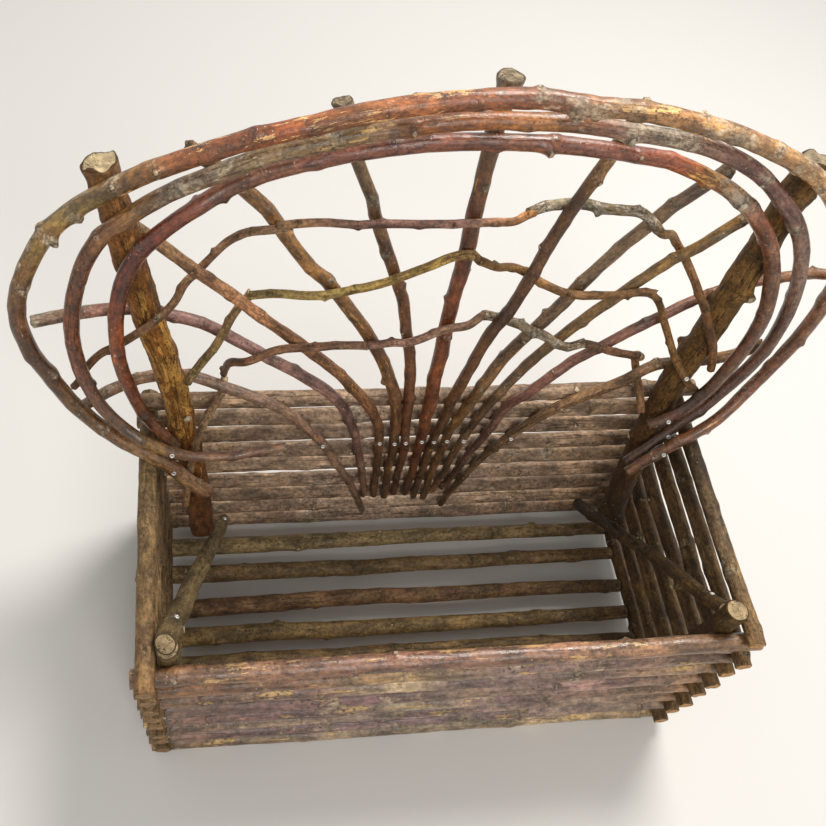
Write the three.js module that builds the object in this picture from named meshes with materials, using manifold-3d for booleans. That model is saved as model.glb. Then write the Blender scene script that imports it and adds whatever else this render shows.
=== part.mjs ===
// A settee-shaped planter of bent twigs: a log-cabin box of stacked sticks with a fan back.
// Millimetres, +Z up, the front faces -Y.

import * as THREE from "three";
import { mergeVertices } from "three/addons/utils/BufferGeometryUtils.js";
import Module from "manifold-3d";

const wasm = await Module();
wasm.setup();

// The gap that touching pieces keep.
const GAP = 0.3;

// The box: its wall sticks, and the distance between the middles of opposite walls.
const STICK = 18;
const BOX_WIDTH = 596;
const BOX_DEPTH = 284;
const FRONT_STICKS = 8;
const FRONT_END = 14;
const SIDE_END = 22;

// The floor slats.
const SLAT = 16;
const SLAT_BACK = 96;
const SLAT_STEPS = [0, 37, 83, 119, 154];

// The corner posts at the front and the braces that tie them to the back wall.
const CORNER_POST = 22;
const CORNER_POST_RISE = 20;
const BRACE = { left: 15, right: 14.5 };
const BRACE_END = { left: 21, right: 14.5 };
const BRACE_FOOT = 42;
const BRACE_FOOT_IN = { left: 68, right: 32 };
const BRACE_DROP = { left: -17, right: 2 };
const POST_UNDER_BRACE = 4;
const LET_IN = 2;

// The back posts, which lean back over the top of the back wall.
const BACK_POST = 30;
const LEAN = 11;
const POST_FOOT = 114;
const POST_SIDE_GAP = 8;

// The fan: how far it rises above the box, and how thick its branches are.
const FAN_RISE = 380;
const OUTER_HOOP = 16.5;
const HOOP = 15.2;
const HOOP_RUN = 0.2;
const HOOP_ENDS = { outer: [1, 0.75], middle: [0.62, 0.85], inner: [0.78, 0.82] };
const SPOKE = 13;
const SPOKE_SIZES = { 4: 14, 5: 12.2, 6: 15.5, 8: 13.6, 9: 12, 10: 11.6 };
const SPOKE_TOE = 8.6;
const SPOKE_EASE = 3.3;
const THICK_TIP = 18.5;
const THICK_TIPPED = 6;
const CREST_STEP = 11.5;
const WEB = 8.4;

const BARK = "#6b4b3c";
const DARK_BARK = "#54473d";
const HOOP_BARK = "#7a4633";
const OCHRE_BARK = "#8a6a43";
const TWIG_BARK = "#8b7058";

// Courses: the front and back sticks lie on the odd ones, the side sticks between them.
const course = STICK + GAP;
const courseHeight = (n) => STICK / 2 + n * course;
const topSide = courseHeight(2 * FRONT_STICKS - 1);
const topBack = courseHeight(2 * FRONT_STICKS);
const rim = topBack + STICK / 2;
const innerSide = (BOX_WIDTH - STICK) / 2;
const innerBack = (BOX_DEPTH - STICK) / 2;

const part = new THREE.Group();
part.name = "twig_settee_planter";

function add(name, geometry, colour) {
  const material = new THREE.MeshStandardMaterial({ color: colour, roughness: 0.7 });
  material.name = name + "_bark";
  const mesh = new THREE.Mesh(geometry, material);
  mesh.name = name;
  part.add(mesh);
}

// A round stick with eight flats, two of them level where it lies on its neighbours.
function rod(from, to, diameter, endDiameter = diameter, sides = 8) {
  const span = new THREE.Vector3().subVectors(to, from);
  const across = 2 * Math.cos(Math.PI / sides);
  const geometry = new THREE.CylinderGeometry(
    endDiameter / across,
    diameter / across,
    span.length(),
    sides,
  );
  geometry.rotateY(Math.PI / sides);
  const turn = new THREE.Quaternion().setFromUnitVectors(
    new THREE.Vector3(0, 1, 0),
    span.clone().normalize(),
  );
  geometry.applyQuaternion(turn);
  const middle = new THREE.Vector3().addVectors(from, to).multiplyScalar(0.5);
  geometry.translate(middle.x, middle.y, middle.z);
  return geometry;
}

// A bent branch: an even tube along the curve, then each ring drawn in to its own radius.
function branch(curve, radiusAt, steps, sides = 8) {
  const section = new THREE.Shape();
  for (let i = 0; i < sides; i += 1) {
    const angle = (i / sides) * 2 * Math.PI;
    const point = [Math.cos(angle), Math.sin(angle)];
    if (i === 0) section.moveTo(...point);
    else section.lineTo(...point);
  }
  section.closePath();
  const geometry = new THREE.ExtrudeGeometry(section, {
    steps,
    curveSegments: 1,
    bevelEnabled: false,
    extrudePath: curve,
  });
  const rings = curve.getSpacedPoints(steps);
  const place = geometry.attributes.position;
  const at = new THREE.Vector3();
  for (let i = 0; i < place.count; i += 1) {
    at.fromBufferAttribute(place, i);
    let nearest = 0;
    rings.forEach((ring, n) => {
      if (ring.distanceTo(at) < rings[nearest].distanceTo(at)) nearest = n;
    });
    const ring = rings[nearest];
    const radius = radiusAt(ring, nearest / steps);
    at.sub(ring).setLength(radius).add(ring);
    place.setXYZ(i, at.x, at.y, at.z);
  }
  return geometry;
}

function solid(geometry) {
  const bare = geometry.clone();
  bare.deleteAttribute("normal");
  bare.deleteAttribute("uv");
  const welded = mergeVertices(bare, 1e-3);
  const mesh = new wasm.Mesh({
    numProp: 3,
    vertProperties: new Float32Array(welded.attributes.position.array),
    triVerts: new Uint32Array(welded.index.array),
  });
  return new wasm.Manifold(mesh);
}

function toGeometry(body) {
  const mesh = body.getMesh();
  const geometry = new THREE.BufferGeometry();
  geometry.setAttribute("position", new THREE.BufferAttribute(mesh.vertProperties, 3));
  geometry.setIndex(new THREE.BufferAttribute(mesh.triVerts, 1));
  const flat = geometry.toNonIndexed();
  flat.computeVertexNormals();
  return flat;
}

// Box walls.
const halfFront = BOX_WIDTH / 2 + FRONT_END;
const halfSide = BOX_DEPTH / 2 + SIDE_END;
for (let n = 0; n <= FRONT_STICKS; n += 1) {
  const z = courseHeight(2 * n);
  const back = rod(
    new THREE.Vector3(-halfFront, BOX_DEPTH / 2, z),
    new THREE.Vector3(halfFront, BOX_DEPTH / 2, z),
    STICK,
  );
  add("back_wall_stick_" + (n + 1), back, BARK);
  if (n === FRONT_STICKS) break;
  const front = rod(
    new THREE.Vector3(-halfFront, -BOX_DEPTH / 2, z),
    new THREE.Vector3(halfFront, -BOX_DEPTH / 2, z),
    STICK,
  );
  add("front_wall_stick_" + (n + 1), front, BARK);
  for (const [side, across] of [["left", -1], ["right", 1]]) {
    const rail = rod(
      new THREE.Vector3((across * BOX_WIDTH) / 2, -halfSide, z + course),
      new THREE.Vector3((across * BOX_WIDTH) / 2, halfSide, z + course),
      STICK,
    );
    add(side + "_wall_stick_" + (n + 1), rail, DARK_BARK);
  }
}

// Floor slats, butted against the lowest side sticks.
const slatHeight = courseHeight(1);
SLAT_STEPS.forEach((step, n) => {
  const reach = innerSide - GAP;
  const y = SLAT_BACK - step;
  const slat = rod(
    new THREE.Vector3(-reach, y, slatHeight),
    new THREE.Vector3(reach, y, slatHeight),
    SLAT,
  );
  add("floor_slat_" + (n + 1), slat, DARK_BARK);
});

// The line of the back posts in side view: it clears the top of the back wall.
const leanSlope = Math.tan(THREE.MathUtils.degToRad(LEAN));
const postAtRim = innerBack - BACK_POST / 2 - GAP;
const postLine = (z) => postAtRim + leanSlope * (z - rim);
const postAcross = innerSide - BACK_POST / 2 - POST_SIDE_GAP;

// Places in the fan, forward of the posts' line.
const SPOKES = SPOKE / 2 - BACK_POST / 2 + SPOKE_EASE;
const OVER_SPOKES = SPOKES + (SPOKE + WEB) / 2 + GAP;
const UNDER_SPOKES = SPOKES - (SPOKE + WEB) / 2 - GAP;
const BEHIND_POST = -(BACK_POST + SPOKE) / 2 - GAP;
const OUTER_ON_POST = (BACK_POST + OUTER_HOOP) / 2 + GAP;
const HOOP_ON_POST = (BACK_POST + HOOP) / 2 + GAP;
const HOOP_ON_HOOP = HOOP_ON_POST + HOOP + GAP;
const OUTER_ON_HOOP = HOOP_ON_POST + (HOOP + OUTER_HOOP) / 2 + GAP;
const OUTER_OVER_WALL = OUTER_ON_POST + OUTER_HOOP;
const OUTER_OVER_TIE = OUTER_ON_POST + WEB + GAP;
const HOOP_OVER_WALL = HOOP_ON_HOOP + HOOP / 2;
const HOOP_ON_WEB = HOOP_ON_POST + WEB;
const WEB_ON_POST = (BACK_POST + WEB) / 2 + GAP;
const WEB_UNDER_HOOP = HOOP_ON_POST - (HOOP + WEB) / 2 - GAP;
const UNDER_RAISED_HOOP = HOOP_ON_WEB - (HOOP + WEB) / 2 - GAP;
const BESIDE_POST = WEB_ON_POST - WEB / 2;
const UNDER_PASSING = BEHIND_POST - WEB / 2 - GAP;
const BEHIND_PASSING = BEHIND_POST - WEB - GAP;
const OUTER_SIDE = OUTER_ON_POST / 2;
const HOOP_SIDE = HOOP_ON_POST - HOOP / 2 + GAP;
const INNER_SIDE = HOOP_ON_POST + HOOP / 4 + GAP;
const INNER_CREST = SPOKES + (SPOKE + HOOP) / 2 + 2 * GAP;
const CREST = INNER_CREST + CREST_STEP;
const OUTER_CREST = CREST + CREST_STEP;
const mix = THREE.MathUtils.lerp;

// A path through the fan. A point is how far across it lies, in hundredths of the posts'
// distance from the middle, how high, in hundredths of the fan's rise above the rim or of
// the box's height below it, and how far forward of the posts' line.
class FanPath extends THREE.Curve {
  constructor(points, keepOff = null, setBack = 0) {
    super();
    this.keepOff = keepOff;
    this.plan = new THREE.CatmullRomCurve3(
      points.map(([across, up, forward]) => {
        const z = rim + (up * (up < 0 ? rim : FAN_RISE)) / 100;
        return new THREE.Vector3((across * postAcross) / 100, forward - setBack, z);
      }),
      false,
      "centripetal",
    );
  }

  getPoint(t, target = new THREE.Vector3()) {
    const place = this.plan.getPoint(t);
    let y = postLine(place.z) - place.y;
    if (this.keepOff) y = Math.max(y, this.keepOff(place.z));
    return target.set(place.x, y, place.z);
  }
}

// Back posts.
const postFoot = (POST_FOOT / rim - 1) * 100;
const backPosts = {
  left: [[-94, postFoot, 0], [-98, -8, 0], [-109, 40, 0], [-117, 78, 0]],
  right: [[100, postFoot, 0], [99, -8, 0], [107, 42, 0], [115, 79, 0]],
};
for (const [side, points] of Object.entries(backPosts)) {
  const post = branch(new FanPath(points), () => BACK_POST / 2, 8, 10);
  add(side + "_back_post", post, OCHRE_BARK);
}

// Corner posts. The left brace lies on its post's top, the right one ends against its post.
const cornerX = innerSide - CORNER_POST / 2 - GAP;
const cornerY = (BOX_DEPTH - STICK) / 2 - CORNER_POST / 2 - GAP;
const cornerTop = { left: topSide + POST_UNDER_BRACE, right: topSide + CORNER_POST_RISE };
const braceEnds = {
  left: [-cornerX, -cornerY + LET_IN],
  right: [cornerX + LET_IN / 2, -cornerY + CORNER_POST / 2 - LET_IN],
};
for (const [side, across] of [["left", -1], ["right", 1]]) {
  const [endX, endY] = braceEnds[side];
  const post = rod(
    new THREE.Vector3(across * cornerX, -cornerY, 0),
    new THREE.Vector3(across * cornerX, -cornerY, cornerTop[side]),
    CORNER_POST,
  );
  const braceFoot = innerBack - BRACE[side] / 2 - GAP;
  const brace = rod(
    new THREE.Vector3(across * (innerSide - BRACE_FOOT_IN[side]), braceFoot, BRACE_FOOT),
    new THREE.Vector3(endX, endY, topSide - BRACE_DROP[side]),
    BRACE[side],
    BRACE_END[side],
  );
  const tied = solid(post).add(solid(brace));
  add(side + "_corner_post_and_brace", toGeometry(tied), DARK_BARK);
}

// Hoops, each thinner towards its ends by its own shares.
const hoopRadius = (diameter, [left, right]) => (ring, along) => {
  const fromLeft = mix(left, 1, Math.min(along / HOOP_RUN, 1));
  const fromRight = mix(right, 1, Math.min((1 - along) / HOOP_RUN, 1));
  return Math.min(fromLeft, fromRight) * (diameter / 2);
};
const outerHoop = [
  [-90, -28, mix(OUTER_ON_POST, OUTER_OVER_TIE, 0.6)], [-96.6, -20.3, OUTER_OVER_TIE],
  [-101, -13.5, mix(OUTER_OVER_TIE, OUTER_OVER_WALL, 0.6)],
  [-106, -3.4, OUTER_OVER_WALL], [-112, -1.5, OUTER_OVER_WALL],
  [-120, 2, mix(OUTER_ON_POST, OUTER_OVER_WALL, 0.85)],
  [-130, 8, mix(OUTER_ON_POST, OUTER_OVER_WALL, 0.45)],
  [-140, 18, mix(OUTER_ON_POST, OUTER_OVER_WALL, 0.1)],
  [-149, 34, OUTER_ON_POST], [-150, 45, OUTER_ON_POST], [-145, 54, OUTER_ON_POST],
  [-134, 67, OUTER_ON_POST], [-118, 75, OUTER_ON_POST],
  [-79, 88, mix(OUTER_ON_POST, OUTER_CREST, 0.8)], [-56, 93, OUTER_CREST],
  [-34, 96.5, OUTER_CREST], [0, 99, OUTER_CREST], [34, 97.5, OUTER_CREST],
  [66, 93, mix(OUTER_ON_POST, OUTER_CREST, 0.6)], [97, 84.5, OUTER_ON_POST],
  [111, 79, OUTER_ON_POST], [127, 69, OUTER_ON_POST],
  [138, 57, mix(OUTER_SIDE, OUTER_ON_POST, 0.7)],
  [142, 43, mix(OUTER_SIDE, OUTER_ON_POST, 0.3)],
  [141.5, 28, OUTER_SIDE], [137.5, 20, OUTER_SIDE], [133, 10, OUTER_SIDE],
  [127.4, 5.3, mix(OUTER_SIDE, OUTER_ON_HOOP, 0.3)],
  [121.6, 1.6, mix(OUTER_SIDE, OUTER_ON_HOOP, 0.6)],
  [116, -0.6, mix(OUTER_SIDE, OUTER_ON_HOOP, 0.85)],
  [108.5, -3, OUTER_ON_HOOP], [101, -9, OUTER_ON_HOOP],
  [95, -14, OUTER_ON_HOOP], [88, -20, OUTER_ON_HOOP],
];
const middleHoop = [
  [-59, -2, HOOP_ON_HOOP], [-91, -5, HOOP_ON_HOOP],
  [-100, -2, mix(HOOP_ON_HOOP, HOOP_OVER_WALL, 0.6)], [-109, 4, HOOP_OVER_WALL],
  [-119, 9, mix(HOOP_ON_HOOP, HOOP_OVER_WALL, 0.6)],
  [-128, 16, mix(HOOP_ON_POST, HOOP_OVER_WALL, 0.4)], [-134, 34, HOOP_ON_POST],
  [-130, 49, HOOP_ON_POST], [-122, 62, HOOP_ON_POST], [-108, 71, HOOP_ON_POST],
  [-67, 84, CREST], [-44, 88, CREST], [-16, 91.5, CREST], [8, 92.5, CREST],
  [43, 90, CREST], [72, 86, CREST], [98, 76.5, HOOP_ON_POST], [117, 62, HOOP_ON_POST],
  [125, 50, mix(HOOP_SIDE, HOOP_ON_POST, 0.5)], [129, 36, HOOP_SIDE],
  [129, 24, HOOP_SIDE], [118, 7, HOOP_SIDE], [111, 0, mix(HOOP_SIDE, HOOP_ON_POST, 0.5)],
  [98, -13, HOOP_ON_POST], [90, -22, HOOP_ON_POST],
];
const innerHoop = [
  [-101, -6, HOOP_ON_POST], [-111, 7, HOOP_ON_POST], [-118, 28, HOOP_ON_WEB],
  [-118, 38, HOOP_ON_WEB], [-113, 55, HOOP_ON_POST], [-100, 66, HOOP_ON_POST],
  [-75, 75, INNER_CREST], [-55, 80, INNER_CREST], [-30, 83.5, INNER_CREST],
  [0, 85, INNER_CREST], [43, 83, INNER_CREST], [58, 81, INNER_CREST],
  [82, 76, mix(INNER_CREST, HOOP_ON_POST, 0.5)], [102, 65, HOOP_ON_POST],
  [113, 52, HOOP_ON_POST], [117, 35, INNER_SIDE], [111, 14, INNER_SIDE],
  [105, 4, mix(INNER_SIDE, HOOP_ON_POST, 0.6)], [99, 0, HOOP_ON_POST],
  [93, -3, HOOP_ON_POST],
];
const hoops = [
  ["outer", outerHoop, OUTER_HOOP, 46],
  ["middle", middleHoop, HOOP, 42],
  ["inner", innerHoop, HOOP, 38],
];
for (const [name, points, diameter, steps] of hoops) {
  const radiusAt = hoopRadius(diameter, HOOP_ENDS[name]);
  add(name + "_hoop", branch(new FanPath(points), radiusAt, steps), HOOP_BARK);
}

// Spokes, each of its own size, their fronts in line. They taper to their toes below the
// rim and lie against the back wall there.
const spokeRadius = (size) => (z) => {
  const up = THREE.MathUtils.clamp(z / rim, 0, 1);
  return mix(SPOKE_TOE, size, up * up) / 2;
};
const PASSING = mix(SPOKES, BEHIND_POST, 0.5);
const PAST_POST = mix(SPOKES, BEHIND_POST, 0.2);
const againstWall = (radius) => (z) => innerBack - GAP - radius(z);
const spokes = [
  [[-15, -86, SPOKES], [-29, -50, SPOKES], [-47, -16, SPOKES], [-63, 1, SPOKES],
    [-80, 6, PASSING], [-97, 9, BEHIND_POST], [-112, 9, BEHIND_POST], [-136, 3, PAST_POST]],
  [[-16.2, -70, SPOKES], [-23, -35, SPOKES], [-36, 2, SPOKES], [-50, 11, SPOKES],
    [-78, 24, PASSING], [-101, 31, BEHIND_POST], [-113, 33, BEHIND_POST],
    [-126, 34, PASSING], [-148, 32, PAST_POST]],
  [[-12.4, -70, SPOKES], [-15, -35, SPOKES], [-22, -3, SPOKES], [-39, 14, SPOKES],
    [-70, 35, SPOKES], [-99, 54, SPOKES], [-104.5, 57.3, SPOKES]],
  [[-7, -73, SPOKES], [-9, -30, SPOKES], [-15, 7, SPOKES], [-26, 24, SPOKES],
    [-55, 53, SPOKES], [-72, 69, SPOKES], [-92.5, 81.8, SPOKES]],
  [[-2, -70, SPOKES], [-5, -20, SPOKES], [-12, 23, SPOKES], [-18, 40, SPOKES],
    [-37, 75, SPOKES], [-45, 91, SPOKES]],
  [[4, -70, SPOKES], [2, -25, SPOKES], [1, 20, SPOKES], [3, 57, SPOKES], [5, 97, SPOKES]],
  [[8.5, -74, SPOKES], [8, -25, SPOKES], [14, 15, SPOKES], [24, 35, SPOKES],
    [37, 66, SPOKES], [50, 92, SPOKES]],
  [[13, -74, SPOKES], [14, -25, SPOKES], [20, 6, SPOKES], [44, 37, SPOKES],
    [65, 60, SPOKES], [87, 76, SPOKES]],
  [[17, -68, SPOKES], [22, -25, SPOKES], [30, 6, SPOKES], [49, 28, SPOKES],
    [68, 42, SPOKES], [99, 61.3, SPOKES], [103.4, 63.7, SPOKES]],
  [[21, -67, SPOKES], [30, -28, SPOKES], [38, 1, SPOKES], [62, 20, SPOKES],
    [90, 31, PASSING], [100, 34, BEHIND_POST], [119, 38, BEHIND_POST], [143, 44, PAST_POST]],
  [[23, -82, SPOKES], [31, -50, SPOKES], [46, -20, SPOKES], [60, -2, SPOKES],
    [80, 4, PASSING], [95, 9, BEHIND_POST], [118, 10, BEHIND_POST], [134, 19, PAST_POST]],
];
spokes.forEach((points, n) => {
  const size = SPOKE_SIZES[n + 1] ?? SPOKE;
  const radius = spokeRadius(size);
  const path = new FanPath(points, againstWall(radius), (size - SPOKE) / 2);
  const swell = n + 1 === THICK_TIPPED ? (THICK_TIP - size) / 2 : 0;
  const radiusAt = (ring, along) => radius(ring.z) + (along > 0.95 ? swell : 0);
  add("spoke_" + (n + 1), branch(path, radiusAt, 16), BARK);
});

// Web twigs, over some spokes and under others.
const webRadius = () => WEB / 2;
const webs = {
  outer_web: [
    [-137, 15, WEB_UNDER_HOOP], [-126, 26, WEB_UNDER_HOOP], [-118, 31.5, UNDER_RAISED_HOOP],
    [-112, 35.5, WEB_ON_POST], [-104, 40, WEB_ON_POST],
    [-99, 42, mix(UNDER_SPOKES, WEB_ON_POST, 0.85)],
    [-94, 44, mix(UNDER_SPOKES, WEB_ON_POST, 0.15)], [-89, 46, UNDER_SPOKES],
    [-78, 55, UNDER_SPOKES], [-66, 62, OVER_SPOKES], [-59, 63.5, OVER_SPOKES],
    [-31, 63, OVER_SPOKES], [5, 63.8, OVER_SPOKES], [15, 63.2, OVER_SPOKES],
    [25, 62, UNDER_SPOKES], [40, 64, UNDER_SPOKES], [48, 67, OVER_SPOKES],
    [59, 66.4, OVER_SPOKES], [65.5, 62.6, OVER_SPOKES], [70, 59.8, OVER_SPOKES],
    [78.5, 54.3, UNDER_SPOKES], [86, 48, UNDER_SPOKES],
    [92, 42.5, mix(UNDER_SPOKES, WEB_ON_POST, 0.4)],
    [97, 36.5, BESIDE_POST], [102.7, 29.3, WEB_ON_POST], [107, 22, WEB_ON_POST],
    [109.8, 17.5, BESIDE_POST],
  ],
  middle_web: [
    [-95.5, 14.5, OVER_SPOKES], [-88.5, 22.6, OVER_SPOKES], [-82, 31, OVER_SPOKES],
    [-75, 35.5, UNDER_SPOKES], [-68, 40, UNDER_SPOKES], [-56, 42.8, OVER_SPOKES],
    [-40.7, 43.5, OVER_SPOKES], [-27, 45.6, OVER_SPOKES], [-15.8, 49.3, OVER_SPOKES],
    [-1.2, 54.5, OVER_SPOKES], [5.1, 54.5, OVER_SPOKES], [13, 50.5, OVER_SPOKES],
    [23, 45, UNDER_SPOKES], [33, 41.5, UNDER_SPOKES], [43, 42.5, OVER_SPOKES],
    [57, 41.5, OVER_SPOKES], [74.5, 42, OVER_SPOKES], [80, 38, OVER_SPOKES],
    [85, 31.5, OVER_SPOKES], [92, 22.8, mix(OVER_SPOKES, WEB_ON_POST, 0.8)],
    [101, 13.9, WEB_ON_POST], [106.5, 10, mix(BESIDE_POST, WEB_ON_POST, 0.5)],
  ],
  inner_web: [
    [-80.6, 9.3, UNDER_PASSING], [-80.3, 14.2, mix(UNDER_PASSING, OVER_SPOKES, 0.3)],
    [-77.5, 18.8, mix(UNDER_PASSING, OVER_SPOKES, 0.75)], [-73.5, 21.2, OVER_SPOKES],
    [-64, 25.2, OVER_SPOKES], [-44.5, 26.1, OVER_SPOKES], [-24, 26.4, OVER_SPOKES],
    [-10, 27.8, OVER_SPOKES], [1, 31.8, OVER_SPOKES], [8, 32, OVER_SPOKES],
    [17, 30, UNDER_SPOKES], [24, 28.6, UNDER_SPOKES], [32, 30.5, OVER_SPOKES],
    [37.5, 29.4, OVER_SPOKES], [48.9, 23.8, OVER_SPOKES], [55, 25.3, OVER_SPOKES],
    [68.7, 21.9, OVER_SPOKES], [80.5, 18.6, mix(UNDER_PASSING, OVER_SPOKES, 0.8)],
    [84.8, 14, mix(UNDER_PASSING, OVER_SPOKES, 0.35)], [86.5, 10.5, BEHIND_PASSING],
    [88.6, 4.8, BEHIND_PASSING], [89.4, 2.6, mix(BEHIND_PASSING, WEB_ON_POST, 0.3)],
    [90.3, 0.6, mix(BEHIND_PASSING, WEB_ON_POST, 0.6)],
    [91, -2, mix(BEHIND_PASSING, WEB_ON_POST, 0.75)],
  ],
  left_tie_twig: [
    [-81.2, 5.8, UNDER_PASSING], [-82.6, 2.8, mix(UNDER_PASSING, WEB_ON_POST, 0.05)],
    [-85.2, 1.8, mix(UNDER_PASSING, WEB_ON_POST, 0.35)],
    [-88.3, 1.6, mix(UNDER_PASSING, WEB_ON_POST, 0.65)],
    [-91.6, -0.4, mix(UNDER_PASSING, WEB_ON_POST, 0.95)], [-95, -9.6, WEB_ON_POST],
    [-96.6, -21.1, WEB_ON_POST], [-98.3, -30.9, WEB_ON_POST], [-99.2, -38.9, WEB_ON_POST],
  ],
};
const webSteps = { outer_web: 46, middle_web: 38, inner_web: 46, left_tie_twig: 16 };
for (const [name, points] of Object.entries(webs)) {
  const sides = 6;
  add(name, branch(new FanPath(points), webRadius, webSteps[name], sides), TWIG_BARK);
}

// The origin sits on the floor, under the middle of everything.
const whole = new THREE.Box3().setFromObject(part);
const middle = whole.getCenter(new THREE.Vector3());
part.children.forEach((mesh) => {
  mesh.geometry.translate(-middle.x, -middle.y, -whole.min.z);
});

export default part;
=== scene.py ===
import math

import bpy
import numpy as np
from mathutils import Matrix, Vector


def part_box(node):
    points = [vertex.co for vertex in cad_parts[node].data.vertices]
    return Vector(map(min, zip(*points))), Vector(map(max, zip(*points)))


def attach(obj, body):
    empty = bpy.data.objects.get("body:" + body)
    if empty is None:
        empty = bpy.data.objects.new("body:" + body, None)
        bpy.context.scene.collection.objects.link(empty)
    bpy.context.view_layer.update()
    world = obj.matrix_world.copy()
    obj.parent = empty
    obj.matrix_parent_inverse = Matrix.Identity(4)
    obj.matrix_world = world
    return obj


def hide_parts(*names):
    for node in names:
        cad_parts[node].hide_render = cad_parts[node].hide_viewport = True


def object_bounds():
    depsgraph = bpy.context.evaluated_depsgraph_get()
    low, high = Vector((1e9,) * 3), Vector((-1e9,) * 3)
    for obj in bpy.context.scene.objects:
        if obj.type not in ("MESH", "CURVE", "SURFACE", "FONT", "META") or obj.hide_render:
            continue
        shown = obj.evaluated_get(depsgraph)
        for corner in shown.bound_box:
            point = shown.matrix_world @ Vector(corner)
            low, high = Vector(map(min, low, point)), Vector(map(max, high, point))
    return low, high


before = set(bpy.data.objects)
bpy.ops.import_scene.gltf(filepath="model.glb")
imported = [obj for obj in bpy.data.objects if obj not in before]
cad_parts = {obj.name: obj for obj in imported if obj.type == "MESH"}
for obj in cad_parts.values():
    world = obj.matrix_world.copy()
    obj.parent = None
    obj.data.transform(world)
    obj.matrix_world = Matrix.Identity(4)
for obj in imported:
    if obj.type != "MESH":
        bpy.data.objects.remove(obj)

cad_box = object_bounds()
scene = bpy.context.scene
scene.view_settings.view_transform = "Standard"

# ---------------------------------------------------------------------
# Camera. It stands over the front of the planter, left of its middle, and looks down
# into the box, so the fan shows against the floor.
EYE = Vector((-0.2092, -0.4238, 1.1457))
EYE_RIGHT = Vector((0.992634, -0.086526, 0.084804))
EYE_DOWN = Vector((-0.028398, -0.84663, -0.531424))
EYE_AHEAD = Vector((0.11778, 0.525101, -0.84285))
camera_data = bpy.data.cameras.new("camera")
camera_data.lens = 40.573
camera_data.sensor_width = 36
camera_data.shift_x = 0.0968
camera_data.shift_y = -0.001
camera = bpy.data.objects.new("camera", camera_data)
turn = Matrix((EYE_RIGHT, -EYE_DOWN, -EYE_AHEAD)).transposed()
camera.matrix_world = Matrix.Translation(EYE) @ turn.to_4x4()
scene.collection.objects.link(camera)
scene.camera = camera

# ---------------------------------------------------------------------
# Floor and light. A plain pale floor, one soft lamp from the back right, a weaker one
# from the front, and an even white surrounding.
FLOOR_COLOUR = (0.80, 0.785, 0.755, 1)
FLOOR_REACH = 8.0
FLOOR_DROP = 0.0004
LAMP_TINT = (1.0, 0.97, 0.93)
LAMP_AIM = Vector((0, 0, 0.2))


def new_finish(name):
    """An empty material and its surface."""
    finish = bpy.data.materials.new(name)
    finish.use_nodes = True
    return finish, finish.node_tree.nodes["Principled BSDF"]


floor_mesh = bpy.data.meshes.new("floor")
floor_corners = [(x * FLOOR_REACH, y * FLOOR_REACH, -FLOOR_DROP)
                 for x, y in ((-1, -1), (1, -1), (1, 1), (-1, 1))]
floor_mesh.from_pydata(floor_corners, [], [(0, 1, 2, 3)])
floor = bpy.data.objects.new("floor", floor_mesh)
scene.collection.objects.link(floor)
floor_finish, floor_surface = new_finish("floor_finish")
floor_surface.inputs["Base Color"].default_value = FLOOR_COLOUR
floor_surface.inputs["Roughness"].default_value = 0.9
floor_surface.inputs["Specular IOR Level"].default_value = 0.1
floor_mesh.materials.append(floor_finish)

world = bpy.data.worlds.new("surrounding")
world.use_nodes = True
scene.world = world
sky = world.node_tree
sky_light = sky.nodes["Background"]
sky_light.inputs["Color"].default_value = (1, 0.985, 0.96, 1)
sky_light.inputs["Strength"].default_value = 0.42
sky_white = sky.nodes.new("ShaderNodeBackground")
sky_white.inputs["Color"].default_value = (1, 1, 1, 1)
rays = sky.nodes.new("ShaderNodeLightPath").outputs
seen = rays["Is Camera Ray"]
for kind in ("Is Glossy Ray", "Is Transmission Ray"):
    either = sky.nodes.new("ShaderNodeMath")
    either.operation = "MAXIMUM"
    sky.links.new(seen, either.inputs[0])
    sky.links.new(rays[kind], either.inputs[1])
    seen = either.outputs[0]
sky_mix = sky.nodes.new("ShaderNodeMixShader")
for source, socket in zip((seen, sky_light.outputs[0], sky_white.outputs[0]), sky_mix.inputs):
    sky.links.new(source, socket)
sky.links.new(sky_mix.outputs[0], sky.nodes["World Output"].inputs["Surface"])

for lamp_name, place, size, watts in (
    ("window_lamp", (0.75, 0.8, 2.3), 0.8, 44),
    ("room_lamp", (0.25, -1.9, 2.2), 1.0, 24),
):
    lamp_data = bpy.data.lights.new(lamp_name, "AREA")
    lamp_data.shape = "DISK"
    lamp_data.size = size
    lamp_data.energy = watts
    lamp_data.color = LAMP_TINT
    lamp = bpy.data.objects.new(lamp_name, lamp_data)
    lamp.location = place
    lamp.rotation_euler = (LAMP_AIM - Vector(place)).to_track_quat("-Z", "Y").to_euler()
    scene.collection.objects.link(lamp)

# ---------------------------------------------------------------------
# Front wall. Eight natural sticks with their bark on, sawn to one length and laid level,
# one on another. Every stick on the planter is grown by the same few steps, given here.
ROUND = 0.955
ANY_TURN = 7
COLLAR_LENGTH = 0.0035
FLARE_LENGTH = 0.011
STUB_EDGE = 0.0005
END_RINGS = ((0.95, 0.0005), (0.72, 0.0007), (0.45, 0.0008), (0.2, 0.0008))
END_MIDDLE = 0.0008
CUT_WOOD = "#b3a78f"
cad_corners = np.array(cad_box)
grown = {}


def linear(hexed):
    """A colour written the usual way, as Blender's linear values."""
    parts = [int(hexed[i:i + 2], 16) / 255 for i in (1, 3, 5)]
    return np.array([p / 12.92 if p < 0.04045 else ((p + 0.055) / 1.055) ** 2.4 for p in parts])


def draws_for(name):
    """Random draws that are always the same for a piece of that name."""
    return np.random.default_rng(sum((i + 7) * ord(c) for i, c in enumerate(name)))


def corners_of(node):
    """The corners of a node's solid."""
    return np.array([v.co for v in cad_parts[node].data.vertices])


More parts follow.
